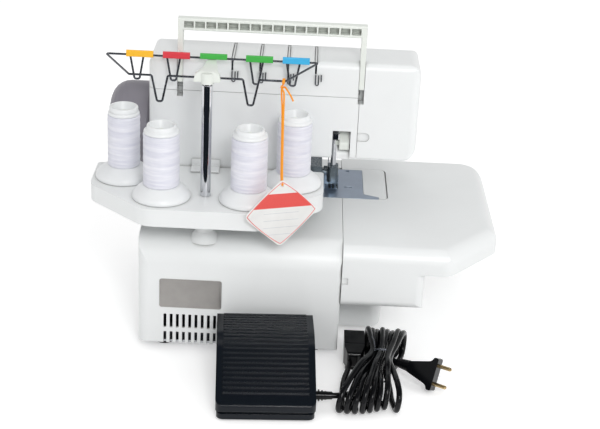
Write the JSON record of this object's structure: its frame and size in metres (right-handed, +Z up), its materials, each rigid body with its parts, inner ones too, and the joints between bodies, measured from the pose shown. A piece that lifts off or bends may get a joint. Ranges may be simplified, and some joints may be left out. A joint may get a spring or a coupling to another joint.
{
  "type": "overlock sewing machine",
  "caption": "Four-thread overlock sewing machine with thread stand, cone spools, carrying handle, extension table, foot control and bundled lead.",
  "frame": {"origin": "middle of the footprint, on the table that the machine stands on", "axes": "+Z up, +X towards the handwheel, +Y towards the rear, where the thread stand is"},
  "size_m": [0.433, 0.3955, 0.336],
  "materials": {
    "belt": "toothed rubber belt",
    "black_plastic": "black moulded plastic",
    "casting": "as-cast aluminium",
    "chrome": "chromed tube",
    "dial_grey": "grey moulded plastic",
    "label_mix": "coloured sleeves",
    "lead_black": "glossy black lead",
    "motor_case": "painted steel can",
    "pedal_black": "blue-black moulded plastic",
    "plate_steel": "blue-grey plated steel",
    "rubber": "black rubber",
    "screw": "plated screws",
    "steel": "ground steel",
    "string": "orange twine",
    "tag_card": "coated card",
    "thread_white": "white sewing thread on a white core",
    "wheel_grey": "grey moulded plastic",
    "white_cover": "moulded white ABS, satin",
    "white_handle": "moulded white plastic",
    "wire": "dark drawn wire"
  },
  "bodies": {
    "machine": {"base_cover": "white_cover", "base_plate": "steel", "rubber_feet": "rubber", "arm_cover": "white_cover", "head_rear_cover": "white_cover", "head_front_cover": "white_cover", "head_top_cover": "white_cover", "face_cover": "white_cover", "main_frame": "casting", "needle_plate": "plate_steel", "timing_belts": "belt", "motor": "motor_case", "spool_tray": "white_cover", "spool_pins": "white_handle", "tray_bracket": "white_handle", "telescope_tube": "chrome", "thread_hooks": "wire", "power_socket": "black_plastic", "cover_screws": "screw", "pedal_base": "pedal_black", "pedal_relief": "lead_black", "pedal_spring": "steel", "pedal_lead": "lead_black", "cord_hank": "lead_black", "lead_connector": "lead_black", "mains_plug": "lead_black"},
    "handwheel": {"handwheel": "wheel_grey", "main_shaft": "steel"},
    "crank_shaft": {"crank_shaft": "steel"},
    "motor_pulley": {"motor_pulley": "steel"},
    "needle_bar": {"needle_bar": "chrome"},
    "presser_foot": {"presser_bar": "chrome", "presser_foot": "steel"},
    "lifter_lever": {"lifter_lever": "white_handle"},
    "upper_looper": {"upper_looper": "steel"},
    "lower_looper": {"lower_looper": "steel"},
    "upper_knife": {"upper_knife": "steel"},
    "feed_dogs": {"feed_dogs": "steel"},
    "stitch_length_dial": {"stitch_length_dial": "dial_grey"},
    "feed_ratio_dial": {"feed_ratio_dial": "dial_grey"},
    "looper_cover": {"looper_cover": "white_cover"},
    "carry_handle": {"carry_handle": "white_handle"},
    "extension_table": {"extension_table": "white_cover"},
    "thread_guide": {"telescope_rod": "chrome", "guide_bracket": "white_handle", "wire_guide": "wire", "label_sleeves": "label_mix", "hang_tag": "tag_card", "tag_string": "string"},
    "power_switch": {"power_switch": "black_plastic"},
    "treadle": {"treadle": "pedal_black"},
    "tension_dial_1": {"tension_dial_1": "dial_grey"},
    "spool_1": {"spool_1": "thread_white"},
    "tension_dial_2": {"tension_dial_2": "dial_grey"},
    "spool_2": {"spool_2": "thread_white"},
    "tension_dial_3": {"tension_dial_3": "dial_grey"},
    "spool_3": {"spool_3": "thread_white"},
    "tension_dial_4": {"tension_dial_4": "dial_grey"},
    "spool_4": {"spool_4": "thread_white"}
  },
  "joints": [
    {"name": "handwheel_spin", "type": "hinge", "parent": "machine", "child": "handwheel", "pos_m": [0, -0.107, 0.19], "axis": [1, 0, 0], "continuous": true},
    {"name": "crank_shaft_spin", "type": "hinge", "parent": "machine", "child": "crank_shaft", "pos_m": [0, -0.107, 0.07], "axis": [1, 0, 0], "continuous": true},
    {"name": "motor_spin", "type": "hinge", "parent": "machine", "child": "motor_pulley", "pos_m": [0, 0.008, 0.06], "axis": [1, 0, 0], "continuous": true},
    {"name": "needle_bar_slide", "type": "slide", "parent": "machine", "child": "needle_bar", "axis": [0, 0, 1], "range_m": [-0.028, 0]},
    {"name": "lifter_turn", "type": "hinge", "parent": "machine", "child": "lifter_lever", "pos_m": [-0.039, -0.06, 0.212], "axis": [1, 0, 0], "range_deg": [0, 30]},
    {"name": "presser_lift", "type": "slide", "parent": "machine", "child": "presser_foot", "axis": [0, 0, 1], "range_m": [0, 0.006]},
    {"name": "upper_looper_rock", "type": "hinge", "parent": "machine", "child": "upper_looper", "pos_m": [-0.012, 0, 0.04], "axis": [0, 1, 0], "range_deg": [-8, 7]},
    {"name": "lower_looper_rock", "type": "hinge", "parent": "machine", "child": "lower_looper", "pos_m": [-0.012, 0, 0.04], "axis": [0, 1, 0], "range_deg": [-10, 8]},
    {"name": "upper_knife_slide", "type": "slide", "parent": "machine", "child": "upper_knife", "axis": [0, 0, 1], "range_m": [-0.008, 0]},
    {"name": "feed_slide", "type": "slide", "parent": "machine", "child": "feed_dogs", "axis": [0, 1, 0], "range_m": [-0.0015, 0.0015]},
    {"name": "tension_dial_1_turn", "type": "hinge", "parent": "machine", "child": "tension_dial_1", "pos_m": [0.0735, -0.12117, 0.25096], "axis": [1, 0, 0], "range_deg": [0, 300]},
    {"name": "tension_dial_2_turn", "type": "hinge", "parent": "machine", "child": "tension_dial_2", "pos_m": [0.0443, -0.12117, 0.25096], "axis": [1, 0, 0], "range_deg": [0, 300]},
    {"name": "tension_dial_3_turn", "type": "hinge", "parent": "machine", "child": "tension_dial_3", "pos_m": [0.0151, -0.12117, 0.25096], "axis": [1, 0, 0], "range_deg": [0, 300]},
    {"name": "tension_dial_4_turn", "type": "hinge", "parent": "machine", "child": "tension_dial_4", "pos_m": [-0.0141, -0.12117, 0.25096], "axis": [1, 0, 0], "range_deg": [0, 300]},
    {"name": "stitch_length_turn", "type": "hinge", "parent": "machine", "child": "stitch_length_dial", "pos_m": [0.1615, -0.15, 0.095], "axis": [1, 0, 0], "range_deg": [0, 270]},
    {"name": "feed_ratio_turn", "type": "hinge", "parent": "machine", "child": "feed_ratio_dial", "pos_m": [0.1615, -0.15, 0.052], "axis": [1, 0, 0], "range_deg": [0, 270]},
    {"name": "looper_cover_hinge", "type": "hinge", "parent": "machine", "child": "looper_cover", "pos_m": [0, -0.1915, 0.0235], "axis": [1, 0, 0], "range_deg": [0, 85]},
    {"name": "handle_slide", "type": "slide", "parent": "machine", "child": "carry_handle", "axis": [0, 0, 1], "range_m": [-0.014, 0]},
    {"name": "table_slide", "type": "slide", "parent": "machine", "child": "extension_table", "axis": [-1, 0, 0], "range_m": [0, 0.06]},
    {"name": "thread_stand_slide", "type": "slide", "parent": "machine", "child": "thread_guide", "axis": [0, 0, 1], "range_m": [0, 0.1]},
    {"name": "spool_1_spin", "type": "hinge", "parent": "machine", "child": "spool_1", "pos_m": [0.1828, -0.001, 0.172], "axis": [0, 0, 1], "continuous": true},
    {"name": "spool_2_spin", "type": "hinge", "parent": "machine", "child": "spool_2", "pos_m": [0.1383, 0.048, 0.172], "axis": [0, 0, 1], "continuous": true},
    {"name": "spool_3_spin", "type": "hinge", "parent": "machine", "child": "spool_3", "pos_m": [0.0493, 0.048, 0.172], "axis": [0, 0, 1], "continuous": true},
    {"name": "spool_4_spin", "type": "hinge", "parent": "machine", "child": "spool_4", "pos_m": [0.0048, -0.001, 0.172], "axis": [0, 0, 1], "continuous": true},
    {"name": "power_switch_rock", "type": "hinge", "parent": "machine", "child": "power_switch", "pos_m": [0.1575, 0.005, 0.05], "axis": [0, 1, 0], "range_deg": [0, 14]},
    {"name": "treadle_press", "type": "hinge", "parent": "machine", "child": "treadle", "pos_m": [0.02039, 0.18491, 0.012], "axis": [0.9981, 0.061, 0], "range_deg": [0, 5], "stiffness_Nm_per_rad": 20, "springref_deg": -1.29, "deforming": ["pedal_spring"]}
  ],
  "couplings": [
    {"joint": "crank_shaft_spin", "follows": "handwheel_spin", "ratio": 1},
    {"joint": "motor_spin", "follows": "handwheel_spin", "ratio": 4.75},
    {"joint": "lifter_turn", "follows": "presser_lift", "rad_per_m": 87.26}
  ]
}
